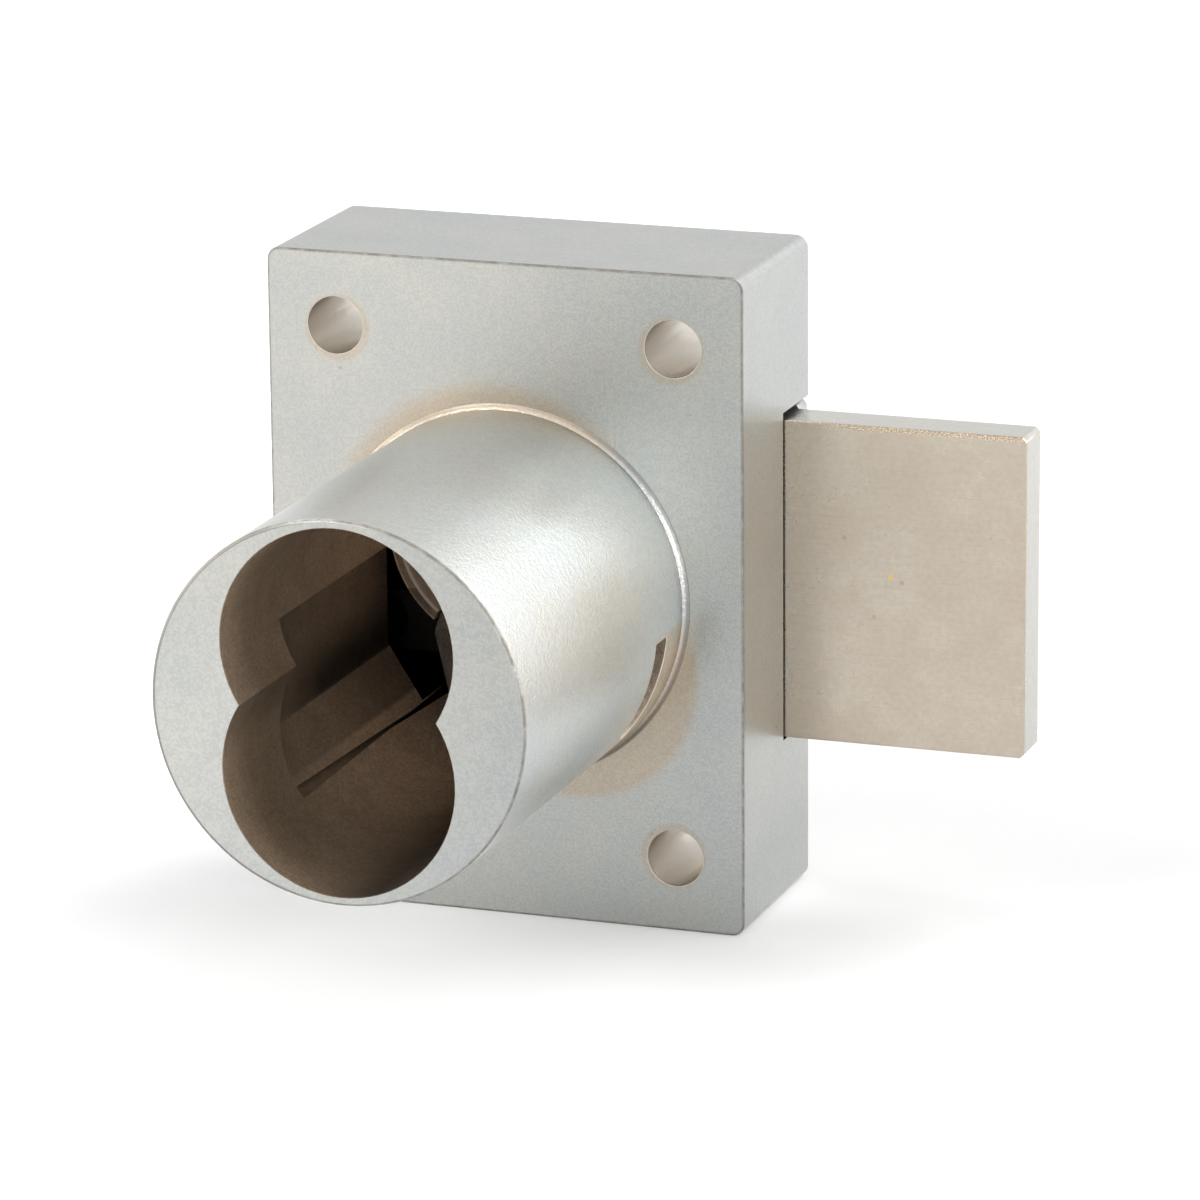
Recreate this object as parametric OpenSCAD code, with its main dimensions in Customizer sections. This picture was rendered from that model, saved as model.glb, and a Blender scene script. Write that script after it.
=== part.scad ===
// Surface-mounted deadbolt for a cabinet door, with a round barrel that takes a figure-eight key core.
// Units are millimetres. X runs the way the bolt leaves the case, Y from the barrel's rim to the back of
// the case, and Z up. The origin is on the barrel's axis, in the face that lies on the door.

/* [Case] */
// Width of the case along the bolt's travel
case_w = 38.0; // [38:0.5:42]
// Height of the case across the bolt
case_h = 51.2; // [50.8:0.4:56]
// Depth of the case behind the door
case_t = 16.1; // [16.1:0.1:18]
// Thickness of the four side walls
wall_t = 1.5; // [1.3:0.1:1.7]
// Thickness of the front wall that lies on the door
front_t = 1.4; // [1.2:0.1:1.6]
// Radius of the four corners seen from the front
corner_r = 1.0; // [0.6:0.1:1.4]

/* [Barrel and core socket] */
// Outer diameter of the barrel
barrel_d = 28.6; // [28.2:0.2:30]
// Length of the barrel in front of the case
barrel_len = 34.7; // [32:0.1:38]
// Width of the bevel where the barrel meets the case
base_bevel = 0.4; // [0.2:0.05:0.6]
// Width of the bevel around the barrel's rim
rim_bevel = 0.2; // [0.1:0.05:0.4]
// Radius of each lobe of the figure-eight socket
lobe_r = 8.88; // [8.8:0.02:9]
// Distance of each lobe's centre from the barrel's axis
lobe_z = 4.76; // [4.7:0.02:4.9]
// Depth of the lip that holds the core's side lug
lip_depth = 10.9; // [10:0.1:12]
// Radial depth of the lug recess beyond the lobe
recess_d = 1.32; // [1:0.02:1.5]
// Width of the notch cut across the barrel near its base
notch_w = 2.45; // [1.5:0.05:3]
// Distance from the case to that notch
notch_gap = 3.75; // [3:0.05:5]
// Depth of that notch at its deepest
notch_depth = 3.8; // [1.5:0.1:4]

/* [Bolt] */
// Height of the bolt
bolt_h = 25.1; // [24:0.1:25.6]
// Thickness of the bolt
bolt_t = 3.8; // [3.4:0.1:4]
// Travel of the bolt, and its length outside the case when thrown
throw = 19.1; // [18:0.1:19.2]
// Width of the two ears at the bolt's tail
ear_w = 3.0; // [2.5:0.1:3.5]
// Height of each ear above the bolt's edge
ear_h = 1.75; // [1.4:0.05:2]
// Height of the bevel on the bolt's end corners
bolt_bevel = 0.35; // [0.2:0.05:0.6]

/* [Mounting holes] */
// Diameter of the four mounting holes
hole_d = 4.4; // [4:0.1:4.6]
// Spacing of the mounting holes along the bolt's travel
hole_dx = 27.0; // [26.6:0.1:27.4]
// Spacing of the mounting holes across the bolt
hole_dz = 39.7; // [39.4:0.1:40.4]

/* [Cover] */
// Thickness of the steel cover
cover_t = 2.0; // [1.6:0.1:2.2]
// Distance of the cover below the back rim of the case
cover_inset = 0.3; // [0.2:0.05:0.5]
// Corner radius of the tongue that closes the bolt's mouth
tongue_r = 0.9; // [0.6:0.1:1.2]
// Diameter of the cover screws
screw_d = 2.6; // [2.4:0.1:2.7]

/* [Drive] */
// Angle through which the key turns the driver
turn = 90; // [84:1:94]
// Distance across the driver's two flats
flats_w = 10.8; // [10.4:0.1:11.2]
// Slant of the driver's flats with the bolt thrown
flats_slant = 13; // [8:1:16]
// Diameter of the two pins that enter the core
pin_d = 2.3; // [2:0.1:2.5]
// Distance of each pin from the plug's axis
pin_r = 3.1; // [2.9:0.1:3.3]
// Thickness of the crank
crank_t = 1.9; // [1.6:0.1:2]
// Diameter of the crank's stud
stud_d = 4.0; // [3.6:0.1:4.2]

/* [Fits] */
// Radial clearance of the driver in its bearings
run_gap = 0.08; // [0.04:0.01:0.1]
// Clearance of the bolt on each side of its guides
slide_gap = 0.1; // [0.05:0.01:0.2]
// Clearance around pressed and riveted pieces
press_gap = 0.02; // [0.01:0.01:0.04]
// Smallest clearance of the stud in the bolt's slot
stud_gap = 0.3; // [0.3:0.05:0.4]

/* [Hidden] */
$fn = 96;
cut = 0.5; // how far a cutting shape runs past the surface it opens
sink = 0.1; // how far two shapes of one piece run into each other
seat = 0.02; // gap between two pieces that lie on each other
edge = 0.3; // bevel on the ends of pins, studs and screws

// Case and barrel
barrel_r = barrel_d / 2;
half_w = case_w / 2;
half_h = case_h / 2;
in_w = half_w - wall_t;
in_h = half_h - wall_t;
in_r = 0.6;
hole_r = hole_d / 2;
hole_x = hole_dx / 2;
hole_z = hole_dz / 2;
post_wall = 2.1;
post_r = hole_r + post_wall;

// Core socket: its end wall closes the upper lobe only
end_y = -0.35;
lip_y = lip_depth - barrel_len;
plug_z = -lobe_z;
recess_x = -lobe_r - recess_d;
recess_drop = 1.31; // the recess begins this far below the upper lobe's centre
recess_top = lobe_z - recess_drop;
knee_drop = 0.51; // and its wall turns inwards this far below the lower lobe's centre
recess_knee = plug_z - knee_drop;
recess_slant = 31; // angle at which the recess runs back into the lower lobe
recess_end = [-lobe_r * cos(recess_slant), plug_z - lobe_r * sin(recess_slant)];
draft = 1.2; // slope of the cast groove under the recess
draft_w = 0.75;
lip_w = 0.8; // raised lip left by the casting die around the end wall
lip_rise = 0.7;
groove_w = 0.3;
groove_d = 0.6;
lip_side = -1; // the lip and its groove lie to the left of this X

// Notch across the barrel's side
notch_floor = barrel_r - notch_depth;
notch_top = -1.3;

// Stack of pieces in the case, built up from the cover towards the front
cover_y1 = case_t - cover_inset;
cover_y0 = cover_y1 - cover_t;
bolt_y1 = cover_y0 - slide_gap;
bolt_y0 = bolt_y1 - bolt_t;
ledge_y = bolt_y0 - slide_gap;
mouth_room = 0.25; // between the bolt and the mouth's front edge
mouth_y = bolt_y0 - mouth_room;
crank_room = 0.6; // between the crank and the bolt
crank_y1 = bolt_y0 - crank_room;
crank_y0 = crank_y1 - crank_t;
washer_t = 0.3;
keeper_y1 = crank_y0 - washer_t - 2 * seat;
keeper_t = 0.8;
keeper_y0 = keeper_y1 - keeper_t;
spring_room = 0.75;
body_y1 = keeper_y0 - spring_room;
body_room = 0.2;
body_y0 = front_t + body_room;

// Driver and its two pins
hub_r = 5.9;
hub_set = 0.25; // the hub lies this far behind the end wall
hub_y = end_y + hub_set;
body_r = lobe_r - run_gap;
journal_r = 3.7;
square_w = 5.0;
peen_r = 2.9;
peen_t = 0.25;
pin_out = 4.6;
pin_in = 4.2;
spring_r0 = journal_r + mouth_room;
spring_r1 = flats_w / 2 - slide_gap;
spring_t = 0.3;
bearing_wall = 1.8; // wall of the part-round bearing that carries the lower lobe on into the case
bearing_from = 213; // the bearing runs from this angle round the bottom to the next one
bearing_to = 12;
bearing_far = 14;

// Crank: the bolt runs steadiest against the key's angle with this radius
steady = cos(turn / 4);
crank_r = throw / (steady * turn * PI / 180);
stud_play = crank_r * (sin(turn / 4) - steady * turn * PI / 720);
stud_r = stud_d / 2;
rivet_r = stud_r * 0.6;
rivet_head_r = stud_r * 0.9;
rivet_head_t = 0.6;
slot_r = stud_r + stud_play + stud_gap;
crank_rest = 90 - turn / 2;
eye_wall = 1.5;
eye_r = journal_r + eye_wall;
arm_wall = 0.7;
arm_r = stud_r + arm_wall;
arm_half = stud_r + arm_wall / 2;

// Bolt
stop_gap = 0.15; // left at either end of the travel
bolt_tip = half_w + throw;
tail_x = throw - in_w + stop_gap;
ear_top = bolt_h / 2 + ear_h;
slot_x = throw / 2;
slot_room = 0.45; // between the stud and the slot's ends
slot_end = stud_r + slot_room;
slot_lo = plug_z + crank_r * cos(turn / 2) - slot_end;
slot_hi = plug_z + crank_r + slot_end;

// Guides for the bolt inside the case
rail_z = bolt_h / 2 + slide_gap;
wide_z = ear_top + slide_gap;
rail_merge = 0.25; // the guides run this far into the posts
rail_top = hole_z - post_r + rail_merge;
rail_end = half_w - cut;
step_x = tail_x + ear_w + stop_gap;
ledge_w = 0.75;
mouth_z = rail_z + slot_room; // the mouth stands open above the bolt
mouth_low = rail_z + slide_gap; // and the bolt lies on its lower edge

// Cover and its screws
cover_gap = 0.1;
tongue_z = mouth_z - cover_gap;
tongue_low = mouth_low - cover_gap;
tongue_in = 4; // the tongue begins this far inside the right wall
tongue_root = in_w - tongue_in;
csk_wall = 1.6;
csk_r = hole_r + csk_wall;
csk_t = 1.3;
csk_over = 0.6; // the cone's height above the cover, so that its edge is cut clean
screw_r = screw_d / 2;
screw_len = 7.5;
tap_len = 8.5;
head_r = screw_r * 1.95;
head_t = 1.4;
head_low = 0.1;
boss_off = 8;
boss_in = 3.2;
boss_x = hole_x - boss_off;
boss_z = in_h - boss_in;
boss_wall = 1.2;
boss_r = screw_r + boss_wall;
cross_w = 0.6;
cross_t = 1.7;

// Keeper plate and its screws
keeper_x = 12.8;
keeper_end_r = 2.6;
keeper_wall = 2.2;
keeper_mid_r = journal_r + keeper_wall;
keeper_step = 0.2;
keeper_half = keeper_end_r - keeper_step;
small_r = 1.0;
small_len = 3.2;
small_tap = 4.8;
small_head_r = 1.9;
small_head_t = 1.0;
small_head_edge = 0.5;
small_cross_w = 0.4;

// Leaf spring in the rail over the bolt
leaf_t = 0.3;
leaf_from = 1.6; // distance of the leaf's ends from the guide's two ends
leaf_to = 1.0;
leaf_x0 = step_x + leaf_from;
leaf_x1 = in_w - leaf_to;
leaf_rise = 1.5;
leaf_half = (leaf_x1 - leaf_x0) / 2;
leaf_r = (leaf_half * leaf_half + leaf_rise * leaf_rise) / (2 * leaf_rise);
leaf_inset = 0.4;
leaf_lift = 0.03;
leaf_side = 0.3; // room at each end of the leaf

// A flat shape drawn in X and Z, carried along Y from y0 to y1
module along_y(y0, y1) {
    translate([0, y1, 0]) rotate([90, 0, 0]) linear_extrude(y1 - y0) children();
}

// A round bar along Y
module rod(x, z, r, y0, y1) {
    along_y(y0, y1) translate([x, z]) circle(r);
}

// A shape of turning, its profile drawn as radius and Y, around the axis at x and z
module turned(x, z) {
    translate([x, 0, z]) rotate([90, 0, 0]) mirror([0, 0, 1]) rotate_extrude() children();
}

module rounded_rect(w, h, r) {
    square([w, h - 2 * r], center = true);
    square([w - 2 * r, h], center = true);
    for (x = [-1, 1], z = [-1, 1])
        translate([x * (w / 2 - r), z * (h / 2 - r)]) circle(r);
}

module at_corners(x, z) {
    for (sx = [-1, 1], sz = [-1, 1]) translate([sx * x, 0, sz * z]) children();
}

module both_sides() {
    for (s = [0, 1]) mirror([0, 0, s]) children();
}

// Round bar cut to two parallel flats, turned to the driver's rest angle
module flatted(r, y0, y1) {
    along_y(y0, y1) translate([0, plug_z]) intersection() {
        circle(r);
        rotate(flats_slant) square([flats_w, 4 * r], center = true);
    }
}

// A point on the driver's long axis, at distance r above its centre
module on_long_axis(r) {
    translate([0, 0, plug_z]) rotate([0, -flats_slant, 0]) translate([0, 0, r]) children();
}

// Cross recess in the face of a screw, its middle at y
module cross_recess(y, len, w, depth) {
    for (a = [0, 90])
        translate([0, y, 0]) rotate([0, a, 0]) cube([len, depth, w], center = true);
}

// Housing: barrel, case and the guides cast into it

module barrel_solid() {
    turned(0, 0) polygon([
        [0, sink],
        [barrel_r + base_bevel, sink],
        [barrel_r + base_bevel, 0],
        [barrel_r, -base_bevel],
        [barrel_r, rim_bevel - barrel_len],
        [barrel_r - rim_bevel, -barrel_len],
        [0, -barrel_len]
    ]);
}

// Figure-eight socket, open at the rim, and the bearing that carries its lower lobe on
module socket_cut() {
    rod(0, lobe_z, lobe_r, -barrel_len - cut, end_y);
    rod(0, plug_z, lobe_r, -barrel_len - cut, end_y);
    along_y(end_y - cut, keeper_y0 + sink) difference() {
        translate([0, plug_z]) circle(lobe_r);
        translate([0, lobe_z]) circle(lobe_r);
    }
    rod(0, plug_z, hub_r + run_gap, end_y - cut, front_t + cut);
}

// Everything to the right of the die's raised lip
module lip_mask(y0, y1) {
    along_y(y0, y1) translate([lip_side, -2 * lobe_r]) square([3 * lobe_r, 5 * lobe_r]);
}

module end_wall_lip() {
    difference() {
        rod(0, lobe_z, lobe_r + sink, end_y - lip_rise, end_y + sink);
        rod(0, lobe_z, lobe_r - lip_w, end_y - lip_rise - cut, end_y + cut);
        rod(0, plug_z, hub_r + run_gap, end_y - lip_rise - cut, end_y + cut);
        lip_mask(end_y - lip_rise - cut, end_y + cut);
    }
}

module end_wall_groove() {
    difference() {
        rod(0, lobe_z, lobe_r - lip_w, end_y - cut, end_y + groove_d);
        rod(0, lobe_z, lobe_r - lip_w - groove_w, end_y - 2 * cut, end_y + groove_d + cut);
        lip_mask(end_y - 2 * cut, end_y + groove_d + cut);
    }
}

// Recess behind the lip, where the core's lug turns; it runs through the front wall into the case
module recess_cut() {
    along_y(lip_y, front_t + cut) difference() {
        polygon([
            [0, recess_top],
            [recess_x, recess_top],
            [recess_x, recess_knee],
            recess_end,
            [0, plug_z]
        ]);
        translate([0, lobe_z]) circle(lobe_r);
    }
    translate([recess_end[0] + sink, lip_y, recess_end[1]])
        rotate([0, 0, draft]) rotate([0, recess_slant, 0])
            translate([-draft_w, 0, -draft_w])
                cube([2 * draft_w, front_t - lip_y + cut, draft_w]);
}

// Flat notch cut into the barrel's side close to the case
module barrel_notch() {
    translate([notch_floor, -notch_gap - notch_w, -barrel_r])
        cube([barrel_r, notch_w, barrel_r + notch_top]);
}

module case_shell() {
    difference() {
        along_y(0, case_t) rounded_rect(case_w, case_h, corner_r);
        along_y(front_t, case_t + cut) rounded_rect(2 * in_w, 2 * in_h, in_r);
    }
}

// One guide along X with the ledge that carries the bolt's front face, z0 is its inner edge
module guide(x0, x1, z0) {
    translate([x0, front_t - sink, z0])
        cube([x1 - x0, cover_y0 - front_t + sink, rail_top - z0]);
    translate([x0, front_t - sink, z0 - ledge_w])
        cube([x1 - x0, ledge_y - front_t + sink, ledge_w + sink]);
}

// The guides are close to the bolt's edges by the mouth and stand back for the ears
module rails() {
    both_sides() {
        guide(step_x, rail_end, rail_z);
        guide(-rail_end, step_x + sink, wide_z);
    }
}

module driver_bearing() {
    along_y(front_t - sink, keeper_y0) translate([0, plug_z]) difference() {
        intersection() {
            circle(lobe_r + bearing_wall);
            polygon([
                [0, 0],
                bearing_far * [cos(bearing_from), sin(bearing_from)],
                [-bearing_far, -bearing_far],
                [bearing_far, -bearing_far],
                bearing_far * [cos(bearing_to), sin(bearing_to)]
            ]);
        }
        circle(lobe_r);
    }
}

// Posts for the mounting holes, the cover's screws and the keeper's screws
module posts() {
    at_corners(hole_x, hole_z) rod(0, 0, post_r, front_t - sink, cover_y0);
    at_corners(boss_x, boss_z) rod(0, 0, boss_r, front_t - sink, cover_y0);
    both_sides() for (s = [-1, 1])
        translate([s * boss_x - boss_wall / 2, front_t - sink, boss_z])
            cube([boss_wall, cover_y0 - front_t + sink, boss_in + sink]);
    for (s = [-1, 1]) rod(s * keeper_x, plug_z, keeper_half, front_t - sink, keeper_y0);
}

module screw_holes() {
    at_corners(hole_x, hole_z) rod(0, 0, hole_r, -cut, case_t);
    at_corners(boss_x, boss_z) rod(0, 0, screw_r + press_gap, cover_y0 + cut - tap_len, case_t);
    for (s = [-1, 1])
        rod(s * keeper_x, plug_z, small_r + press_gap, keeper_y1 - small_tap, case_t);
}

module leaf_pocket() {
    translate([leaf_x0 - leaf_side, ledge_y, rail_z - cut])
        cube([2 * (leaf_half + leaf_side), case_t - ledge_y, leaf_rise + leaf_lift + seat - slide_gap + cut]);
}

module housing() {
    color([0.76, 0.77, 0.76]) difference() {
        union() {
            difference() {
                union() {
                    case_shell();
                    barrel_solid();
                    rails();
                }
                socket_cut();
                end_wall_groove();
                recess_cut();
            }
            end_wall_lip();
            driver_bearing();
            posts();
        }
        screw_holes();
        translate([in_w, mouth_y, -mouth_low]) cube([wall_t + cut, case_t, mouth_low + mouth_z]);
        leaf_pocket();
        barrel_notch();
    }
}

// Bolt and the leaf that holds it by friction

module bolt() {
    color([0.78, 0.74, 0.69]) difference() {
        union() {
            translate([tail_x, bolt_y0, -bolt_h / 2]) cube([bolt_tip - tail_x, bolt_t, bolt_h]);
            translate([tail_x, bolt_y0, -ear_top]) cube([ear_w, bolt_t, 2 * ear_top]);
        }
        translate([slot_x - slot_r, bolt_y0 - cut, slot_lo])
            cube([2 * slot_r, bolt_t + 2 * cut, slot_hi - slot_lo]);
        both_sides() along_y(bolt_y0 - cut, bolt_y1 + cut) polygon([
            [bolt_tip - bolt_bevel, bolt_h / 2],
            [bolt_tip, bolt_h / 2 - bolt_bevel],
            [bolt_tip + cut, bolt_h / 2 - bolt_bevel],
            [bolt_tip + cut, bolt_h / 2 + cut],
            [bolt_tip - bolt_bevel, bolt_h / 2 + cut]
        ]);
    }
}

// Bowed leaf that rubs on the bolt's upper edge, so the bolt stays where it's put
module bolt_spring() {
    color([0.62, 0.63, 0.65])
        along_y(bolt_y0 + leaf_inset, bolt_y1 - leaf_inset)
            translate([leaf_x0 + leaf_half, bolt_h / 2 + leaf_lift + leaf_r]) intersection() {
                difference() {
                    circle(leaf_r);
                    circle(leaf_r - leaf_t);
                }
                translate([-leaf_half, -leaf_r]) square([2 * leaf_half, leaf_rise]);
            }
}

// Driver train: the core turns the pins, the pins the driver, the driver the crank

module driver() {
    color([0.66, 0.64, 0.60]) difference() {
        union() {
            flatted(hub_r, hub_y, body_y0 + sink);
            flatted(body_r, body_y0, body_y1);
            rod(0, plug_z, journal_r, body_y1 - sink, crank_y0 - seat);
            along_y(crank_y0 - sink, crank_y1 + seat + sink)
                translate([0, plug_z]) rotate(crank_rest) square(square_w, center = true);
            rod(0, plug_z, peen_r, crank_y1 + seat, crank_y1 + seat + peen_t);
        }
        for (s = [-1, 1])
            on_long_axis(s * pin_r) rod(0, 0, pin_d / 2 + press_gap, hub_y - cut, hub_y + pin_in);
    }
}

module drive_pin() {
    turned(0, 0) polygon([
        [0, hub_y - pin_out],
        [pin_d / 2 - edge, hub_y - pin_out],
        [pin_d / 2, hub_y - pin_out + edge],
        [pin_d / 2, hub_y + pin_in - seat],
        [0, hub_y + pin_in - seat]
    ]);
}

module drive_pin_upper() {
    color([0.72, 0.72, 0.74]) on_long_axis(pin_r) drive_pin();
}

module drive_pin_lower() {
    color([0.72, 0.72, 0.74]) on_long_axis(-pin_r) drive_pin();
}

// Conical washer that keeps the driver from rattling
module disc_spring() {
    color([0.55, 0.56, 0.58]) turned(0, plug_z) polygon([
        [spring_r0, keeper_y0 - seat - spring_t],
        [spring_r0, keeper_y0 - seat],
        [spring_r1, body_y1 + seat + spring_t],
        [spring_r1, body_y1 + seat]
    ]);
}

module keeper_plate() {
    color([0.70, 0.70, 0.71])
        along_y(keeper_y0 + seat, keeper_y1) translate([0, plug_z]) difference() {
            union() {
                square([2 * keeper_x, 2 * keeper_half], center = true);
                circle(keeper_mid_r);
                for (s = [-1, 1]) translate([s * keeper_x, 0]) circle(keeper_end_r);
            }
            circle(journal_r + run_gap);
            for (s = [-1, 1]) translate([s * keeper_x, 0]) circle(small_r + slide_gap);
        }
}

module keeper_screws() {
    color([0.60, 0.60, 0.62])
        for (s = [-1, 1]) translate([s * keeper_x, keeper_y1, plug_z]) difference() {
            turned(0, 0) polygon([
                [0, -small_len],
                [small_r, -small_len],
                [small_r, seat],
                [small_head_r, seat],
                [small_head_r, small_head_t - small_head_edge],
                [small_head_r - small_head_edge, small_head_t],
                [0, small_head_t]
            ]);
            cross_recess(small_head_t, 2 * small_r, small_cross_w, small_head_t);
        }
}

// Washer that keeps the crank off the keeper
module thrust_washer() {
    color([0.66, 0.56, 0.36])
        along_y(keeper_y1 + seat, crank_y0 - seat) translate([0, plug_z]) difference() {
            circle(eye_r);
            circle(journal_r + run_gap);
        }
}

module crank() {
    color([0.68, 0.68, 0.70])
        along_y(crank_y0, crank_y1) translate([0, plug_z]) rotate(crank_rest) difference() {
            union() {
                circle(eye_r);
                translate([0, -arm_half]) square([crank_r, 2 * arm_half]);
                translate([crank_r, 0]) circle(arm_r);
            }
            square(square_w + 2 * press_gap, center = true);
            translate([crank_r, 0]) circle(rivet_r + press_gap);
        }
}

// Shouldered stud riveted through the crank's end
module crank_stud() {
    color([0.74, 0.74, 0.76])
        turned(crank_r * cos(crank_rest), plug_z + crank_r * sin(crank_rest)) polygon([
            [0, crank_y0 - rivet_head_t],
            [rivet_r, crank_y0 - rivet_head_t],
            [rivet_head_r, crank_y0 - seat],
            [rivet_r, crank_y0 - seat],
            [rivet_r, crank_y1 + seat],
            [stud_r, crank_y1 + seat],
            [stud_r, bolt_y1 - 2 * edge],
            [stud_r - edge, bolt_y1 - edge],
            [0, bolt_y1 - edge]
        ]);
}

// Cover with its tongue in the bolt's mouth, and the screws that hold it

module cover_outline() {
    rounded_rect(2 * (in_w - cover_gap), 2 * (in_h - cover_gap), in_r);
    translate([tongue_root, -tongue_low])
        square([half_w - tongue_root - tongue_r, tongue_low + tongue_z]);
    translate([tongue_root, tongue_r - tongue_low])
        square([half_w - tongue_root, tongue_low + tongue_z - 2 * tongue_r]);
    for (z = [tongue_r - tongue_low, tongue_z - tongue_r])
        translate([half_w - tongue_r, z]) circle(tongue_r);
}

module cover_plate() {
    color([0.72, 0.72, 0.72]) difference() {
        along_y(cover_y0 + seat, cover_y1) cover_outline();
        at_corners(hole_x, hole_z) turned(0, 0) polygon([
            [0, cover_y0 - cut],
            [hole_r, cover_y0 - cut],
            [hole_r, cover_y1 - csk_t],
            [csk_r, cover_y1 + csk_over],
            [0, cover_y1 + csk_over]
        ]);
        at_corners(boss_x, boss_z) turned(0, 0) polygon([
            [0, cover_y0 - cut],
            [screw_r + slide_gap, cover_y0 - cut],
            [screw_r + slide_gap, cover_y1 - head_t],
            [head_r + slide_gap, cover_y1 - head_low],
            [head_r + slide_gap, cover_y1 + cut],
            [0, cover_y1 + cut]
        ]);
    }
}

module cover_screws() {
    color([0.60, 0.60, 0.62]) at_corners(boss_x, boss_z) difference() {
        turned(0, 0) polygon([
            [0, cover_y1 - screw_len],
            [screw_r - edge, cover_y1 - screw_len],
            [screw_r, cover_y1 - screw_len + edge],
            [screw_r, cover_y1 - head_t],
            [head_r, cover_y1 - head_low],
            [0, cover_y1 - head_low]
        ]);
        cross_recess(cover_y1, 2 * screw_r, cross_w, cross_t);
    }
}

housing();
bolt();
bolt_spring();
driver();
drive_pin_upper();
drive_pin_lower();
disc_spring();
keeper_plate();
keeper_screws();
thrust_washer();
crank();
crank_stud();
cover_plate();
cover_screws();
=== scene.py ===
import math

import bmesh
import bpy
from mathutils import Matrix, Vector


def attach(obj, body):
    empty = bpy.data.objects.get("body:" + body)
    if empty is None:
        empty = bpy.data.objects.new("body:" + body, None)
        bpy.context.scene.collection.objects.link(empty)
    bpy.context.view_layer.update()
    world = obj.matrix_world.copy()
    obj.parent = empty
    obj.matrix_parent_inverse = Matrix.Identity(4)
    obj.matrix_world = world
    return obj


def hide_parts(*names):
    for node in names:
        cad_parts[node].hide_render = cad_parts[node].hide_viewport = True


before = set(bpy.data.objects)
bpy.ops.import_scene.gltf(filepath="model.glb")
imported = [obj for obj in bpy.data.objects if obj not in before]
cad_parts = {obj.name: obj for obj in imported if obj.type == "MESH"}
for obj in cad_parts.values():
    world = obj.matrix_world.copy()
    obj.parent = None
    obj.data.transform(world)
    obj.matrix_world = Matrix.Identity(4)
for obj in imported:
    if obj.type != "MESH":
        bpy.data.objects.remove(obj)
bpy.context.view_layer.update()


# Case and barrel. One zinc casting, finely blasted all over and satin chrome plated. The plating
# doesn't reach far into the core's socket, which stays dark, and it is thin and warm in the corner
# around the barrel, around the mounting holes and in the notch.

MM = 0.001
HALF_W = 19.0 * MM
HALF_H = 25.6 * MM
CASE_T = 16.1 * MM
CORNER_R = 1.0 * MM
BARREL_R = 14.3 * MM
RIM_Y = -34.7 * MM
LOBE_R = 8.88 * MM
LOBE_Z = 4.76 * MM
SOCKET_BACK = 1.35 * MM
LIP_Y = -1.05 * MM
RECESS_D = 1.32 * MM
NOTCH_FRONT = -6.2 * MM
NOTCH_BACK = -3.75 * MM
NOTCH_TOP = -1.3 * MM
NOTCH_FLOOR = 10.5 * MM
INSIDE_FRONT = 1.3 * MM
INSIDE_BACK = 15.6 * MM
HOLE_X = 13.5 * MM
HOLE_Z = 19.85 * MM
HOLE_R = 2.2 * MM
HOLES = [(side * HOLE_X, end * HOLE_Z) for side in (-1, 1) for end in (-1, 1)]
NEAR = 0.02 * MM
SAME_POINT = 0.002 * MM
SAME_PLANE = math.radians(0.3)
SHARP = math.radians(28)


def merged_copy(node):
    """A CAD node's mesh as one closed skin, its flat faces joined."""
    bm = bmesh.new()
    bm.from_mesh(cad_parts[node].data)
    bmesh.ops.remove_doubles(bm, verts=bm.verts, dist=SAME_POINT)
    bmesh.ops.dissolve_limit(bm, angle_limit=SAME_PLANE, verts=bm.verts, edges=bm.edges)
    return bm


def soften(bm, width, rings, where):
    """Rounds the sharp edges whose two ends both lie where the test says."""
    edges = []
    for edge in bm.edges:
        if edge.is_manifold and edge.calc_face_angle() > SHARP:
            if where(edge.verts[0].co) and where(edge.verts[1].co):
                edges.append(edge)
    bmesh.ops.bevel(bm, geom=edges, offset=width, offset_type="OFFSET", segments=rings,
                    profile=0.5, affect="EDGES", clamp_overlap=True, material=-1)


def finished(bm, node, name, body, materials):
    """The piece that stands for a CAD node, smooth up to its sharp edges."""
    bm.normal_update()
    for edge in bm.edges:
        edge.smooth = edge.calc_face_angle(math.pi) < SHARP
    mesh = bpy.data.meshes.new(name)
    bm.to_mesh(mesh)
    bm.free()
    for material in materials:
        mesh.materials.append(material)
    for polygon in mesh.polygons:
        polygon.use_smooth = True
    piece = bpy.data.objects.new(name, mesh)
    bpy.context.scene.collection.objects.link(piece)
    shading = piece.modifiers.new("even_shading", "WEIGHTED_NORMAL")
    shading.keep_sharp = True
    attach(piece, body)
    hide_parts(node)
    return piece


def add(tree, kind, sockets=None, **settings):
    """One shader node, its inputs linked where the value is a socket and set where it isn't."""
    node = tree.nodes.new("ShaderNode" + kind)
    for key, value in settings.items():
        setattr(node, key, value)
    for key, value in (sockets or {}).items():
        if isinstance(value, bpy.types.NodeSocket):
            tree.links.new(value, node.inputs[key])
        else:
            node.inputs[key].default_value = value
    return node


def maths(tree, operation, a, b=0.0, clamp=False):
    return add(tree, "Math", {0: a, 1: b}, operation=operation, use_clamp=clamp).outputs[0]


def times(tree, product, *factors):
    """Masks and numbers multiplied together."""
    for factor in factors:
        product = maths(tree, "MULTIPLY", product, factor)
    return product


def less(tree, value, mask, share=1.0):
    """A value that loses a share of itself where the mask is white."""
    return times(tree, value, maths(tree, "SUBTRACT", 1.0, times(tree, mask, share)))


def ramp(tree, value, low, high, to_low=0.0, to_high=1.0):
    """A soft step from one value to another."""
    sockets = {"Value": value, "From Min": low, "From Max": high, "To Min": to_low, "To Max": to_high}
    return add(tree, "MapRange", sockets, interpolation_type="SMOOTHSTEP").outputs["Result"]


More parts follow.
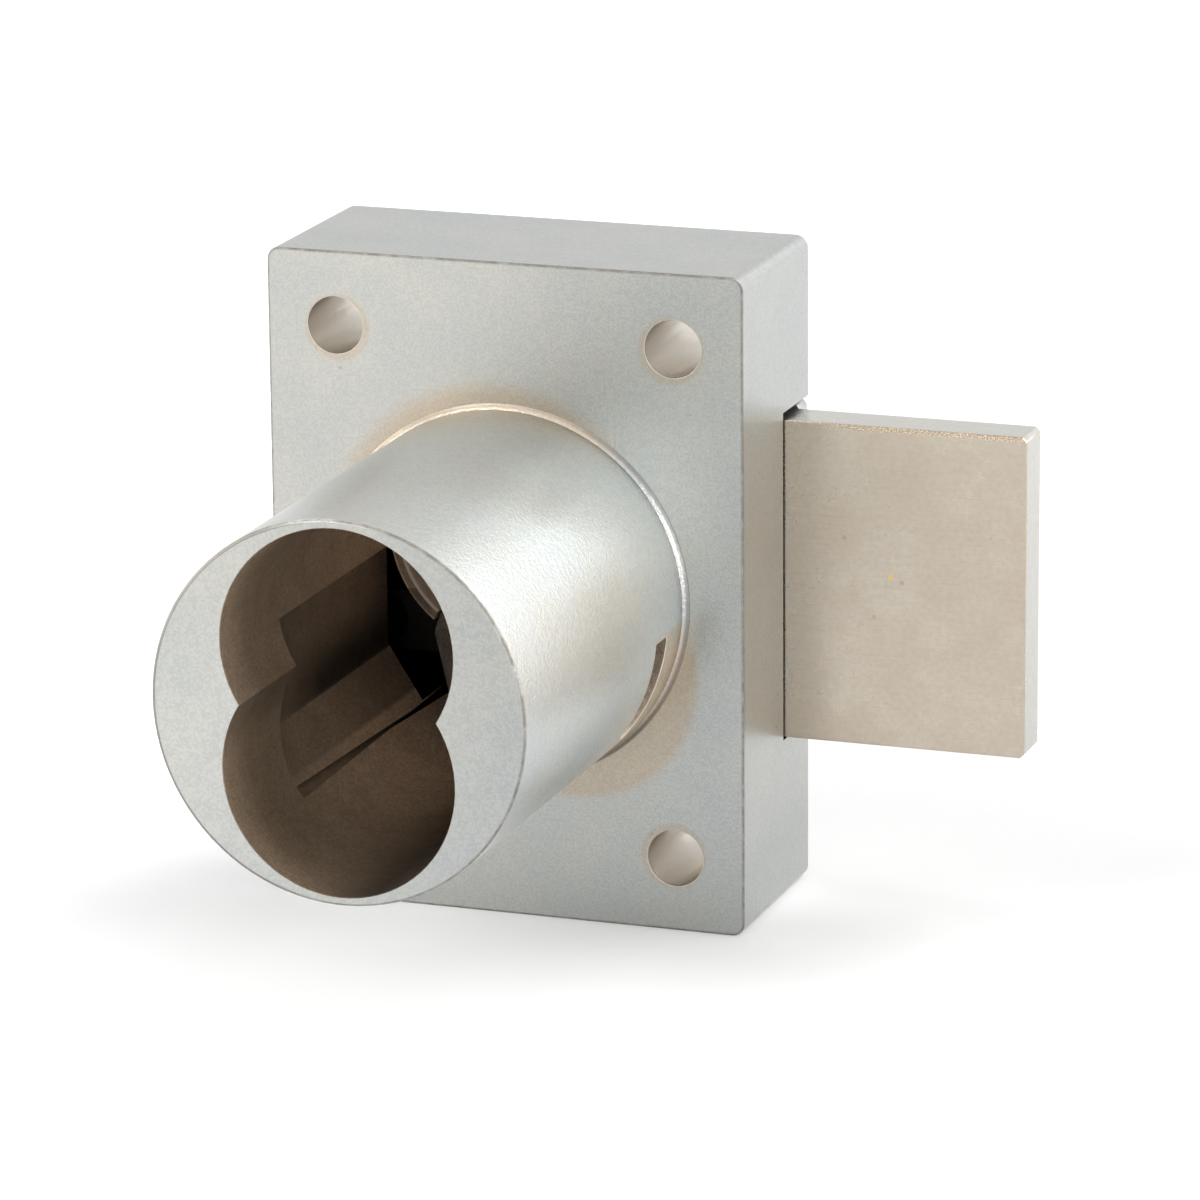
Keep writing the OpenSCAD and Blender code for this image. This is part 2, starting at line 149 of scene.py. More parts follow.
def close_to(tree, value, place, black, white):
    """A soft step by how far a coordinate is from a place, on either side of it."""
    away = maths(tree, "ABSOLUTE", maths(tree, "SUBTRACT", value, place))
    return ramp(tree, away, black, white)


def coordinates(tree):
    """A point in the piece's own frame, as one vector and as its X, Y and Z."""
    place = add(tree, "TexCoord").outputs["Object"]
    x, y, z = add(tree, "SeparateXYZ", {0: place}).outputs[:3]
    return place, x, y, z


def vector_length(tree, vector):
    return add(tree, "VectorMath", {0: vector}, operation="LENGTH").outputs["Value"]


def distance_from(tree, x, z, axis_x=0.0, axis_z=0.0):
    """How far a point is from an axis along Y, such as the barrel's or a hole's."""
    off_x = maths(tree, "SUBTRACT", x, axis_x)
    off_z = maths(tree, "SUBTRACT", z, axis_z)
    squared = maths(tree, "ADD", times(tree, off_x, off_x), times(tree, off_z, off_z))
    return maths(tree, "SQRT", squared)


def tinted(tree, mask, under, over, how="MIX"):
    """One colour laid over another where the mask is white."""
    return add(tree, "Mix", {0: mask, 6: under, 7: over}, data_type="RGBA", blend_type=how).outputs[2]


def scaled(tree, colour, light):
    """A colour made lighter or darker."""
    return add(tree, "VectorMath", {0: colour, "Scale": light}, operation="SCALE").outputs["Vector"]


def stretched_noise(tree, place, size, stretch=(1, 1, 1), detail=2.0):
    """Noise whose features have the given size, longer along the axes that are stretched."""
    sockets = {"Vector": place, "Scale": tuple(1 / (size * s) for s in stretch)}
    at = add(tree, "Mapping", sockets, vector_type="POINT").outputs[0]
    return add(tree, "TexNoise", {"Vector": at, "Scale": 1.0, "Detail": detail}).outputs["Fac"]


def effect(name, inputs, outputs):
    """An empty node group with number inputs and outputs, shared by several materials."""
    group = bpy.data.node_groups.new(name, "ShaderNodeTree")
    for key, value in inputs.items():
        socket = group.interface.new_socket(key, in_out="INPUT", socket_type="NodeSocketFloat")
        socket.default_value = value
    for key in outputs:
        group.interface.new_socket(key, in_out="OUTPUT", socket_type="NodeSocketFloat")
    entry = group.nodes.new("NodeGroupInput")
    leave = group.nodes.new("NodeGroupOutput")
    return group, entry.outputs, leave.inputs


def use(tree, group, **values):
    """Places an effect in a material with its own values."""
    node = tree.nodes.new("ShaderNodeGroup")
    node.node_tree = group
    for key, value in values.items():
        node.inputs[key.replace("_", " ").capitalize()].default_value = value
    return node.outputs


# Blasting leaves fine pits, seen as a salt and pepper grain two or three tenths across
blasted, given, result = effect("blasted_grain", {"Grain size": 0.2 * MM}, ["Light", "Height"])
place = add(blasted, "TexCoord").outputs["Object"]
scale = maths(blasted, "DIVIDE", 1.0, given["Grain size"])
fine = add(blasted, "TexNoise", {"Vector": place, "Scale": scale, "Detail": 1.5}).outputs["Fac"]
scale = times(blasted, scale, 0.37)
coarse = add(blasted, "TexNoise", {"Vector": place, "Scale": scale, "Detail": 1.0}).outputs["Fac"]
grain = maths(blasted, "ADD", times(blasted, fine, 0.7), times(blasted, coarse, 0.3))
blasted.links.new(ramp(blasted, grain, 0.34, 0.66), result["Light"])
blasted.links.new(grain, result["Height"])

# Handling rubs the edges, in patches
worn, given, result = effect("edge_wear", {"Edge width": 0.3 * MM}, ["Mask"])
rounded = add(worn, "Bevel", {"Radius": given["Edge width"]}, samples=4).outputs[0]
flat = add(worn, "NewGeometry").outputs["Normal"]
agree = add(worn, "VectorMath", {0: rounded, 1: flat}, operation="DOT_PRODUCT").outputs["Value"]
place = add(worn, "TexCoord").outputs["Object"]
patches = ramp(worn, stretched_noise(worn, place, 0.9 * MM, detail=3.0), 0.35, 0.6)
worn.links.new(times(worn, ramp(worn, agree, 0.995, 0.93), patches), result["Mask"])

# Plating is never quite even: slow clouds of tone
cloudy, given, result = effect("plating_clouds", {"Cloud size": 6 * MM}, ["Tone"])
place = add(cloudy, "TexCoord").outputs["Object"]
scale = maths(cloudy, "DIVIDE", 1.0, given["Cloud size"])
sockets = {"Vector": place, "Scale": scale, "Detail": 4.0, "Roughness": 0.6}
clouds = add(cloudy, "TexNoise", sockets).outputs["Fac"]
cloudy.links.new(ramp(cloudy, clouds, 0.25, 0.75), result["Tone"])

# Small dark specks scattered over the plating
specked, given, result = effect("specks", {"Spacing": 4 * MM, "Size": 0.08}, ["Mask"])
place = add(specked, "TexCoord").outputs["Object"]
scale = maths(specked, "DIVIDE", 1.0, given["Spacing"])
cells = add(specked, "TexVoronoi", {"Vector": place, "Scale": scale}, feature="F1").outputs
chance = add(specked, "SeparateColor", {0: cells["Color"]}).outputs[0]
wobble = stretched_noise(specked, place, 0.12 * MM)
reach = times(specked, chance, wobble, given["Size"], 1.6)
inside = maths(specked, "SUBTRACT", reach, cells["Distance"])
specked.links.new(ramp(specked, inside, 0.0, 0.015), result["Mask"])


def metal(name, roughness):
    """A metal with nothing on it yet, and its Principled shader."""
    material = bpy.data.materials.new(name)
    material.use_nodes = True
    shader = material.node_tree.nodes["Principled BSDF"]
    shader.inputs["Metallic"].default_value = 1.0
    shader.inputs["Roughness"].default_value = roughness
    return material, material.node_tree, shader.inputs


def bump(tree, height, strength, depth, onto):
    sockets = {"Height": height, "Strength": strength, "Distance": depth}
    tree.links.new(add(tree, "Bump", sockets).outputs[0], onto["Normal"])


def clouded(tree, size, dark, pale):
    """Slow clouds from a dark to a pale colour."""
    tone = use(tree, cloudy, cloud_size=size)["Tone"]
    return tone, tinted(tree, tone, dark, pale)


def grained(tree, colour, size, pits, peaks):
    """A blasted surface, its pits darker and its peaks lighter by the given factors."""
    grain = use(tree, blasted, grain_size=size)
    return grain, scaled(tree, colour, ramp(tree, grain["Light"], 0.0, 1.0, pits, peaks))


def speckled(tree, colour, spacing, size, strength, dark):
    """A colour with small dark specks on it."""
    dots = use(tree, specked, spacing=spacing, size=size)["Mask"]
    return tinted(tree, times(tree, dots, strength), colour, dark)


CHROME_PALE = (0.490, 0.486, 0.454, 1)
CHROME_DEEP = (0.450, 0.461, 0.448, 1)
CHROME_SPECK = (0.12, 0.10, 0.08, 1)
satin_chrome, tree, chrome = metal("satin_chrome", 0.34)
place, x, y, z = coordinates(tree)
tone, colour = clouded(tree, 7 * MM, CHROME_DEEP, CHROME_PALE)
grain, colour = grained(tree, colour, 0.19 * MM, 0.94, 1.06)
from_axis = distance_from(tree, x, z)
on_barrel = ramp(tree, y, -0.1 * MM, -0.3 * MM)
behind_rim = ramp(tree, y, RIM_Y + 0.25 * MM, RIM_Y + 0.35 * MM)

# Painted shade on the faces that look at the door: darker towards the bolt and towards the top
SHADE_TOWARDS_BOLT = (0.80, 0.815, 0.83, 1)
SHADE_TOWARDS_TOP = (0.93, 0.92, 0.905, 1)
on_face = close_to(tree, y, 0.0, 0.3 * MM, 0.1 * MM)
on_ring = ramp(tree, y, RIM_Y + 0.3 * MM, RIM_Y + 0.1 * MM)
faces_door = maths(tree, "MAXIMUM", on_face, on_ring)
aside = times(tree, faces_door, ramp(tree, x, -8 * MM, 18 * MM))
colour = tinted(tree, aside, colour, SHADE_TOWARDS_BOLT, "MULTIPLY")
upper = times(tree, faces_door, ramp(tree, z, -8 * MM, 14 * MM))
colour = tinted(tree, upper, colour, SHADE_TOWARDS_TOP, "MULTIPLY")

# Painted shade darkens the case's sides near their ends; painted light makes the barrel's right side the
# brightest of all, most near the case and low down, and lightens the barrel's top
SHADE_AT_ENDS = (0.905, 0.92, 0.935, 1)
LIT_SIDE_TINT = (0.96, 0.98, 1.0, 1)
shaded_ends = close_to(tree, z, -3 * MM, 14 * MM, 18 * MM)
shaded_ends = times(tree, shaded_ends, ramp(tree, y, 0.2 * MM, 0.5 * MM))
colour = tinted(tree, shaded_ends, colour, SHADE_AT_ENDS, "MULTIPLY")
lit = times(tree, ramp(tree, x, 2 * MM, 11 * MM), ramp(tree, z, -13 * MM, -8 * MM))
lit = times(tree, lit, behind_rim, on_barrel)
colour = tinted(tree, lit, colour, LIT_SIDE_TINT, "MULTIPLY")
crown = times(tree, ramp(tree, z, 6 * MM, 12 * MM), on_barrel, behind_rim, 0.12)
near_case = ramp(tree, y, -17 * MM, -5 * MM, 0.28, 0.48)
below = times(tree, ramp(tree, z, 3 * MM, -3 * MM), ramp(tree, y, -15 * MM, -5 * MM, 0.0, 0.25))
painted_light = times(tree, lit, maths(tree, "ADD", near_case, below))
painted_light = maths(tree, "ADD", 1.0, maths(tree, "MAXIMUM", painted_light, crown))
colour = scaled(tree, colour, painted_light)

# Thin plating around the barrel: wide above it, and a wide patch to the lower right
CHROME_THIN = (1.0, 0.865, 0.735, 1)
around = maths(tree, "ARCTAN2", z, x)
near_base = ramp(tree, y, -0.7 * MM, -0.35 * MM)


def stain(toward, spread, reach, soft):
    """Mask of a stain around the barrel's base that reaches furthest in one direction."""
    aside = maths(tree, "ABSOLUTE", maths(tree, "SUBTRACT", around, math.radians(toward)))
    turn = maths(tree, "MINIMUM", times(tree, aside, spread), math.pi / 2)
    lobe = maths(tree, "COSINE", turn)
    edge = maths(tree, "ADD", times(tree, lobe, reach), BARREL_R)
    out = maths(tree, "SUBTRACT", from_axis, edge)
    return times(tree, ramp(tree, out, soft, -soft), ramp(tree, lobe, 0.0, 0.4))


above = stain(toward=108, spread=1.35, reach=1.8 * MM, soft=0.9 * MM)
beside = stain(toward=-47, spread=2.1, reach=3.6 * MM, soft=0.5 * MM)
thin = times(tree, maths(tree, "MAXIMUM", above, beside), near_base)

# It is thin again around the mounting holes, more on the side towards the barrel, and inside them
HOLE_WARM = (0.61, 0.565, 0.50, 1)
in_hole = 0.0
for hole_x, hole_z in HOLES:
    towards_x = hole_x - math.copysign(0.15 * MM, hole_x)
    towards_z = hole_z - math.copysign(0.17 * MM, hole_z)
    off = distance_from(tree, x, z, towards_x, towards_z)
    rim = ramp(tree, off, HOLE_R + 0.55 * MM, HOLE_R + 0.25 * MM)
    thin = maths(tree, "MAXIMUM", thin, times(tree, rim, 0.75))
    off = distance_from(tree, x, z, hole_x, hole_z)
    well = ramp(tree, off, HOLE_R + 0.10 * MM, HOLE_R + 0.02 * MM)
    in_hole = maths(tree, "MAXIMUM", in_hole, well)

# The notch and the barrel's skin behind it stay bare of the last bright layer
NOTCH_BARE = (0.70, 0.635, 0.565, 1)
NOTCH_PITS = (0.47, 0.41, 0.355, 1)
behind = ramp(tree, y, NOTCH_FRONT - 0.3 * MM, NOTCH_FRONT - 0.02 * MM)
behind = times(tree, behind, ramp(tree, z, NOTCH_TOP + 0.8 * MM, NOTCH_TOP - 0.2 * MM))
behind = times(tree, behind, ramp(tree, x, 6 * MM, 8 * MM), on_barrel)
thin = maths(tree, "MAXIMUM", thin, behind)
colour = tinted(tree, thin, colour, CHROME_THIN, "MULTIPLY")
colour = tinted(tree, in_hole, colour, HOLE_WARM)
in_notch = times(tree, behind, ramp(tree, from_axis, BARREL_R - 0.05 * MM, BARREL_R - 0.25 * MM))
pits = ramp(tree, grain["Light"], 0.2, 0.8, 0.0, 0.8)
colour = tinted(tree, in_notch, colour, tinted(tree, pits, NOTCH_BARE, NOTCH_PITS))
colour = speckled(tree, colour, 3.2 * MM, 0.07, 0.35, CHROME_SPECK)

# Edges are rubbed brown, less so in the corner between barrel and case, whose right side gets painted shade
CORNER_SHADE = (0.60, 0.59, 0.60, 1)
NOTCH_RUBBED = (0.66, 0.60, 0.52, 1)
EDGE_RUBBED = (0.24, 0.205, 0.17, 1)
on_edge = times(tree, use(tree, worn, edge_width=0.08 * MM)["Mask"], 0.4)
corner = close_to(tree, from_axis, BARREL_R + 0.2 * MM, 0.32 * MM, 0.22 * MM)
corner = times(tree, corner, near_base)
on_edge = less(tree, on_edge, corner, 0.6)
corner_right_shade = times(tree, corner, ramp(tree, x, 5 * MM, 11 * MM))
colour = tinted(tree, corner_right_shade, colour, CORNER_SHADE, "MULTIPLY")
colour = tinted(tree, times(tree, on_edge, behind), colour, NOTCH_RUBBED)
colour = tinted(tree, less(tree, on_edge, behind), colour, EDGE_RUBBED)

# A hairline of bare brown zinc follows the outline of the face and the barrel's rim
HAIRLINE = (0.13, 0.11, 0.09, 1)
past_x = maths(tree, "SUBTRACT", maths(tree, "ABSOLUTE", x), HALF_W - CORNER_R)
past_z = maths(tree, "SUBTRACT", maths(tree, "ABSOLUTE", z), HALF_H - CORNER_R)
past_x = maths(tree, "MAXIMUM", past_x, 0.0)
past_z = maths(tree, "MAXIMUM", past_z, 0.0)
past = vector_length(tree, add(tree, "CombineXYZ", {0: past_x, 1: past_z}).outputs[0])
outline = ramp(tree, past, CORNER_R - 0.24 * MM, CORNER_R - 0.18 * MM)
outline = times(tree, outline, close_to(tree, y, 0.055 * MM, 0.075 * MM, 0.035 * MM))
at_rim = ramp(tree, from_axis, BARREL_R - 0.3 * MM, BARREL_R - 0.25 * MM)
on_rim = times(tree, at_rim, close_to(tree, y, RIM_Y + 0.11 * MM, 0.11 * MM, 0.05 * MM))
on_bevel = times(tree, at_rim, close_to(tree, y, RIM_Y + 0.11 * MM, 0.14 * MM, 0.10 * MM))
on_bevel = times(tree, on_bevel, ramp(tree, x, 0.0, -6 * MM, 0.0, 0.7))
breaks = ramp(tree, stretched_noise(tree, place, 0.9 * MM), 0.3, 0.7, 0.4, 0.75)
hairline = times(tree, maths(tree, "MAXIMUM", outline, on_rim), breaks)
hairline = maths(tree, "MAXIMUM", hairline, on_bevel)
colour = tinted(tree, hairline, colour, HAIRLINE)
tree.links.new(colour, chrome["Base Color"])
rough = maths(tree, "SUBTRACT", ramp(tree, tone, 0.0, 1.0, 0.35, 0.31), times(tree, in_hole, 0.04))
rough = maths(tree, "ADD", rough, times(tree, hairline, 0.25))
tree.links.new(rough, chrome["Roughness"])
on_round = ramp(tree, from_axis, BARREL_R - 0.2 * MM, BARREL_R - 0.1 * MM)
deeper = maths(tree, "ADD", 1.0, times(tree, on_round, on_barrel, 1.2))
bump(tree, times(tree, grain["Height"], deeper), 0.7, 0.03 * MM, chrome)

# Bare zinc in the socket, browned by the plating bath. Painted light makes it paler deeper in, so it is
# darkest at its mouth, and painted shade darkens its foot
ZINC_BROWN = (0.142, 0.104, 0.070, 1)
ZINC_PALE = (0.166, 0.123, 0.084, 1)
socket_brown, tree, brown = metal("socket_brown", 0.5)
brown["Metallic"].default_value = 0.0
x, y, z = coordinates(tree)[1:]
tone, colour = clouded(tree, 3 * MM, ZINC_BROWN, ZINC_PALE)
grain, colour = grained(tree, colour, 0.15 * MM, 0.8, 1.2)
shade = ramp(tree, y, -28 * MM, -6 * MM, 1.6, 4.2)
low = times(tree, ramp(tree, z, -6.5 * MM, -10.5 * MM), ramp(tree, x, -4 * MM, 3 * MM))
shade = less(tree, shade, low, 0.86)


def past_lobe(centre):
    """White outside the circle of one lobe, so that both together leave only the recess."""
    off = distance_from(tree, x, z, 0.0, centre)
    return ramp(tree, off, LOBE_R + 0.03 * MM, LOBE_R + 0.08 * MM)


# The lug's recess gets painted shade, its wall darker still towards the knee and the case; the slope below
# gets painted light towards the mouth and painted shade deeper in. The lower lobe gets painted shade just
# below the cusp
WALL_X = -LOBE_R - RECESS_D
in_recess = times(tree, past_lobe(LOBE_Z), past_lobe(-LOBE_Z))
wall = ramp(tree, x, WALL_X + 0.15 * MM, WALL_X + 0.07 * MM)
above_knee = times(tree, ramp(tree, z, 0.5 * MM, -4.5 * MM), ramp(tree, y, -22 * MM, -11 * MM))
shade = less(tree, shade, times(tree, above_knee, wall), 0.85)
shade = less(tree, shade, in_recess, 0.46)
under_cusp = times(tree, ramp(tree, z, -5 * MM, -0.6 * MM), ramp(tree, z, 0.02 * MM, -0.06 * MM))
under_cusp = less(tree, times(tree, under_cusp, ramp(tree, x, -5 * MM, -6 * MM)), in_recess)
shade = less(tree, shade, under_cusp, 0.45)
slope = maths(tree, "MAXIMUM", maths(tree, "SUBTRACT", in_recess, wall), 0.0)
slope = times(tree, slope, ramp(tree, y, -20 * MM, -5 * MM, 0.35, -0.15))
shade = times(tree, shade, maths(tree, "ADD", 1.0, slope))

# The lip around the end wall gets painted shade, and a pale painted highlight along its inner edge
LIP_HIGHLIGHT = (0.80, 0.70, 0.60, 1)
from_lobe = distance_from(tree, x, z, 0.0, LOBE_Z)
on_lip = ramp(tree, y, LIP_Y - 0.2 * MM, LIP_Y - 0.1 * MM)
on_lip = times(tree, on_lip, ramp(tree, from_lobe, LOBE_R, LOBE_R - 0.1 * MM))
shade = less(tree, shade, on_lip, 0.5)
lip_highlight = times(tree, on_lip, ramp(tree, from_lobe, LOBE_R - 0.5 * MM, LOBE_R - 0.6 * MM))
colour = tinted(tree, lip_highlight, scaled(tree, colour, shade), LIP_HIGHLIGHT)
tree.links.new(colour, brown["Base Color"])
tree.links.new(ramp(tree, tone, 0.0, 1.0, 0.55, 0.42), brown["Roughness"])
bump(tree, grain["Height"], 0.3, 0.03 * MM, brown)

# Inside the case the casting is as it left the mould, painted nearly black as painted shade for the dark
# chamber
CHAMBER_SHADE_DARK = (0.012, 0.010, 0.008, 1)
CHAMBER_SHADE_PALE = (0.030, 0.026, 0.022, 1)
case_inside, tree, inside = metal("case_inside", 0.55)
tone, colour = clouded(tree, 4 * MM, CHAMBER_SHADE_DARK, CHAMBER_SHADE_PALE)
grain, colour = grained(tree, colour, 0.3 * MM, 0.75, 1.2)
tree.links.new(colour, inside["Base Color"])
tree.links.new(ramp(tree, grain["Light"], 0.0, 1.0, 0.62, 0.45), inside["Roughness"])
bump(tree, grain["Height"], 0.5, 0.04 * MM, inside)

FRONT_EDGE = 0.16 * MM
BACK_EDGE = 0.2 * MM
HOLE_EDGE = 0.12 * MM
SOCKET_EDGE = 0.05 * MM
NOTCH_EDGE = 0.07 * MM
bm = merged_copy("housing")


def on_outer_wall(co):
    return abs(co.x) > HALF_W - CORNER_R - NEAR or abs(co.z) > HALF_H - CORNER_R - NEAR


def around_hole(co):
    return any(math.hypot(co.x - hx, co.z - hz) < HOLE_R + NEAR for hx, hz in HOLES)


def at_socket_mouth(co):
    return abs(co.y - RIM_Y) < NEAR and co.xz.length < BARREL_R - 0.5 * MM


def on_notch(co):
    beside = NOTCH_FRONT - 0.1 * MM < co.y < NOTCH_BACK + 0.05 * MM
    return beside and co.x > NOTCH_FLOOR - 1.5 * MM and co.z < NOTCH_TOP + 0.1 * MM


soften(bm, FRONT_EDGE, 2, lambda co: abs(co.y) < NEAR and on_outer_wall(co))
soften(bm, BACK_EDGE, 2, lambda co: abs(co.y - CASE_T) < NEAR and on_outer_wall(co))
soften(bm, HOLE_EDGE, 2, lambda co: abs(co.y) < NEAR and around_hole(co))
soften(bm, SOCKET_EDGE, 1, at_socket_mouth)
soften(bm, NOTCH_EDGE, 2, on_notch)
for face in bm.faces:
    middle = face.calc_center_median()
    in_barrel = middle.xz.length < BARREL_R - 0.35 * MM and RIM_Y + NEAR < middle.y < SOCKET_BACK
    if in_barrel and abs(middle.y) > NEAR and not on_notch(middle):
        face.material_index = 1
    in_case = abs(middle.x) < HALF_W - 0.4 * MM and abs(middle.z) < HALF_H - 0.4 * MM
    if in_case and INSIDE_FRONT < middle.y < INSIDE_BACK and not around_hole(middle):
        face.material_index = 2
finished(bm, "housing", "case_and_barrel", "case",
         [satin_chrome, socket_brown, case_inside])


# Bolt. A flat steel bar, nickel plated over fine draw marks, with two ears at its tail that stop
# it in the case. It slides in the case's guides and closes the mouth but for a hair's breadth.

BOLT_Y0 = 9.9 * MM
BOLT_TOP = 12.55 * MM
BOLT_EDGE = 0.12 * MM

scratches = {"Length": 8 * MM, "Width": 0.08 * MM}
scratched, given, result = effect("fine_scratches", scratches, ["Light", "Height"])
x, y, z = coordinates(scratched)[1:]
along = maths(scratched, "DIVIDE", x, given["Length"])
deep = maths(scratched, "DIVIDE", y, given["Width"])
across = maths(scratched, "DIVIDE", z, given["Width"])
at = add(scratched, "CombineXYZ", {0: along, 1: deep, 2: across}).outputs[0]
sockets = {"Vector": at, "Scale": 1.0, "Detail": 3.0, "Roughness": 0.7}
lines = add(scratched, "TexNoise", sockets).outputs["Fac"]
scratched.links.new(ramp(scratched, lines, 0.3, 0.7), result["Light"])
scratched.links.new(lines, result["Height"])


def drawn(tree, colour, length, width, troughs, crests):
    """A drawn or brushed surface, darker in its fine lines and lighter between them."""
    lines = use(tree, scratched, length=length, width=width)
    return lines, scaled(tree, colour, ramp(tree, lines["Light"], 0.0, 1.0, troughs, crests))


def rubbed(tree, colour, width, strength, bare):
    """A colour whose edges are rubbed through."""
    edges = use(tree, worn, edge_width=width)["Mask"]
    return tinted(tree, times(tree, edges, strength), colour, bare)


NICKEL_DARK = (0.452, 0.387, 0.316, 1)
NICKEL_PALE = (0.482, 0.431, 0.361, 1)
NICKEL_EDGES = (0.54, 0.53, 0.49, 1)
NICKEL_SPECK = (0.22, 0.17, 0.12, 1)
NICKEL_RUBBED = (0.46, 0.33, 0.22, 1)
nickel_bolt, tree, nickel = metal("nickel_bolt", 0.28)
place, x, y, z = coordinates(tree)
tone, face_colour = clouded(tree, 4 * MM, NICKEL_DARK, NICKEL_PALE)
on_face = ramp(tree, y, BOLT_Y0 + 0.15 * MM, BOLT_Y0 + 0.02 * MM)
colour = tinted(tree, on_face, NICKEL_EDGES, face_colour)
lines, colour = drawn(tree, colour, 6 * MM, 0.09 * MM, 0.97, 1.025)
mottle = stretched_noise(tree, place, 0.45 * MM, detail=3.0)
colour = scaled(tree, colour, ramp(tree, mottle, 0.3, 0.7, 0.96, 1.03))
colour = speckled(tree, colour, 1.9 * MM, 0.09, 0.25, NICKEL_SPECK)
colour = rubbed(tree, colour, 0.3 * MM, 0.7, NICKEL_RUBBED)

# The shears left a torn, rusty burr along the face's upper edge
BURR_BRIGHT = (0.84, 0.68, 0.50, 1)
BURR_RUSTY = (0.27, 0.19, 0.13, 1)
at_face = close_to(tree, y, BOLT_Y0, 0.14 * MM, 0.05 * MM)
torn = ramp(tree, stretched_noise(tree, place, 0.10 * MM, stretch=(1.3, 1, 1)), 0.42, 0.62)
burr = times(tree, ramp(tree, z, BOLT_TOP - 0.55 * MM, BOLT_TOP - 0.28 * MM), at_face)
burr = times(tree, burr, ramp(tree, x, HALF_W + 1 * MM, HALF_W + 7 * MM, 0.35, 1.0))
colour = tinted(tree, times(tree, burr, torn, 0.7), colour, BURR_BRIGHT)
colour = tinted(tree, times(tree, less(tree, burr, torn), 0.5), colour, BURR_RUSTY)

# One grain of rust and three small dark spots on the face
RUST = (0.66, 0.44, 0.16, 1)
DARK_SPOT = (0.27, 0.22, 0.17, 1)
SPOTS = [(23.8 * MM, 3.7 * MM), (26.2 * MM, -2.4 * MM), (28.4 * MM, 0.5 * MM)]
rust = ramp(tree, distance_from(tree, x, z, 27.5 * MM, 0.9 * MM), 0.26 * MM, 0.14 * MM)
colour = tinted(tree, times(tree, rust, at_face), colour, RUST)
for spot_x, spot_z in SPOTS:
    spot = ramp(tree, distance_from(tree, x, z, spot_x, spot_z), 0.28 * MM, 0.10 * MM)
    colour = tinted(tree, times(tree, spot, at_face, 0.4), colour, DARK_SPOT)

# Inside the case it is painted black: painted shade for the part hidden in the dark chamber
CHAMBER_SHADE = (0.018, 0.015, 0.012, 1)
in_chamber_shade = ramp(tree, x, HALF_W - 0.6 * MM, HALF_W - 1.2 * MM)
colour = tinted(tree, in_chamber_shade, colour, CHAMBER_SHADE)
tree.links.new(colour, nickel["Base Color"])
rough = maths(tree, "ADD", ramp(tree, tone, 0.0, 1.0, 0.32, 0.26), times(tree, in_chamber_shade, 0.2))
tree.links.new(rough, nickel["Roughness"])
bump(tree, lines["Height"], 0.12, 0.02 * MM, nickel)

bm = merged_copy("bolt")
soften(bm, BOLT_EDGE, 2, lambda co: True)
finished(bm, "bolt", "bolt_bar", "bolt", [nickel_bolt])


# Cover and its screws. A stamped steel plate sunk into the back of the case, satin plated, its
# tongue closing the bolt's mouth. Four countersunk cross-recessed screws hold it.

COVER_Y1 = 15.8 * MM
TONGUE_Y0 = 13.85 * MM
COVER_EDGE = 0.15 * MM
SCREW_EDGE = 0.08 * MM

COVER_DARK = (0.52, 0.52, 0.51, 1)
COVER_PALE = (0.60, 0.60, 0.585, 1)
COVER_SPECK = (0.20, 0.17, 0.14, 1)
COVER_RUBBED = (0.78, 0.76, 0.73, 1)
cover_steel, tree, cover = metal("cover_steel", 0.32)
x, y, z = coordinates(tree)[1:]
tone, colour = clouded(tree, 6 * MM, COVER_DARK, COVER_PALE)
lines, colour = drawn(tree, colour, 9 * MM, 0.12 * MM, 0.88, 1.08)
colour = speckled(tree, colour, 2.6 * MM, 0.08, 0.4, COVER_SPECK)
colour = rubbed(tree, colour, 0.3 * MM, 0.4, COVER_RUBBED)
# The tongue's face inside the case is painted black too: painted shade
in_chamber_shade = times(tree, ramp(tree, y, TONGUE_Y0 + 0.1 * MM, TONGUE_Y0),
                ramp(tree, x, HALF_W - 1.6 * MM, HALF_W - 2 * MM))
colour = tinted(tree, in_chamber_shade, colour, CHAMBER_SHADE)
tree.links.new(colour, cover["Base Color"])
tree.links.new(ramp(tree, tone, 0.0, 1.0, 0.38, 0.28), cover["Roughness"])
bump(tree, lines["Height"], 0.3, 0.02 * MM, cover)

bm = merged_copy("cover_plate")
soften(bm, COVER_EDGE, 2, lambda co: abs(co.y - COVER_Y1) < NEAR)
finished(bm, "cover_plate", "back_cover", "case", [cover_steel])


def turned_steel(name, pale, dark, roughness, cloud, grain_size, strength):
    """Steel that was turned or pressed, with clouds, grain and rubbed edges."""
    material, tree, steel = metal(name, roughness)
    tone, colour = clouded(tree, cloud * MM, dark + (1,), pale + (1,))
    grain, colour = grained(tree, colour, grain_size * MM, 0.86, 1.12)
    bright = tuple(1.25 * part for part in pale) + (1,)
    colour = rubbed(tree, colour, 0.15 * MM, 0.5, bright)
    tree.links.new(colour, steel["Base Color"])
    rough = ramp(tree, tone, 0.0, 1.0, roughness + 0.06, roughness - 0.04)
    tree.links.new(rough, steel["Roughness"])
    bump(tree, grain["Height"], strength, 0.02 * MM, steel)
    return material


screw_steel = turned_steel("screw_steel", (0.60, 0.61, 0.63), (0.50, 0.51, 0.53), 0.28, 1.5, 0.14, 0.2)
bm = merged_copy("cover_screws")
soften(bm, SCREW_EDGE, 2, lambda co: abs(co.y - COVER_Y1) < 0.2 * MM)
finished(bm, "cover_screws", "cover_screw_set", "case", [screw_steel])


# Driver train. The sintered driver turns in the socket's lower lobe with two ground pins pressed
# into it, held by the keeper plate against a conical spring, and carries the crank and its stud.

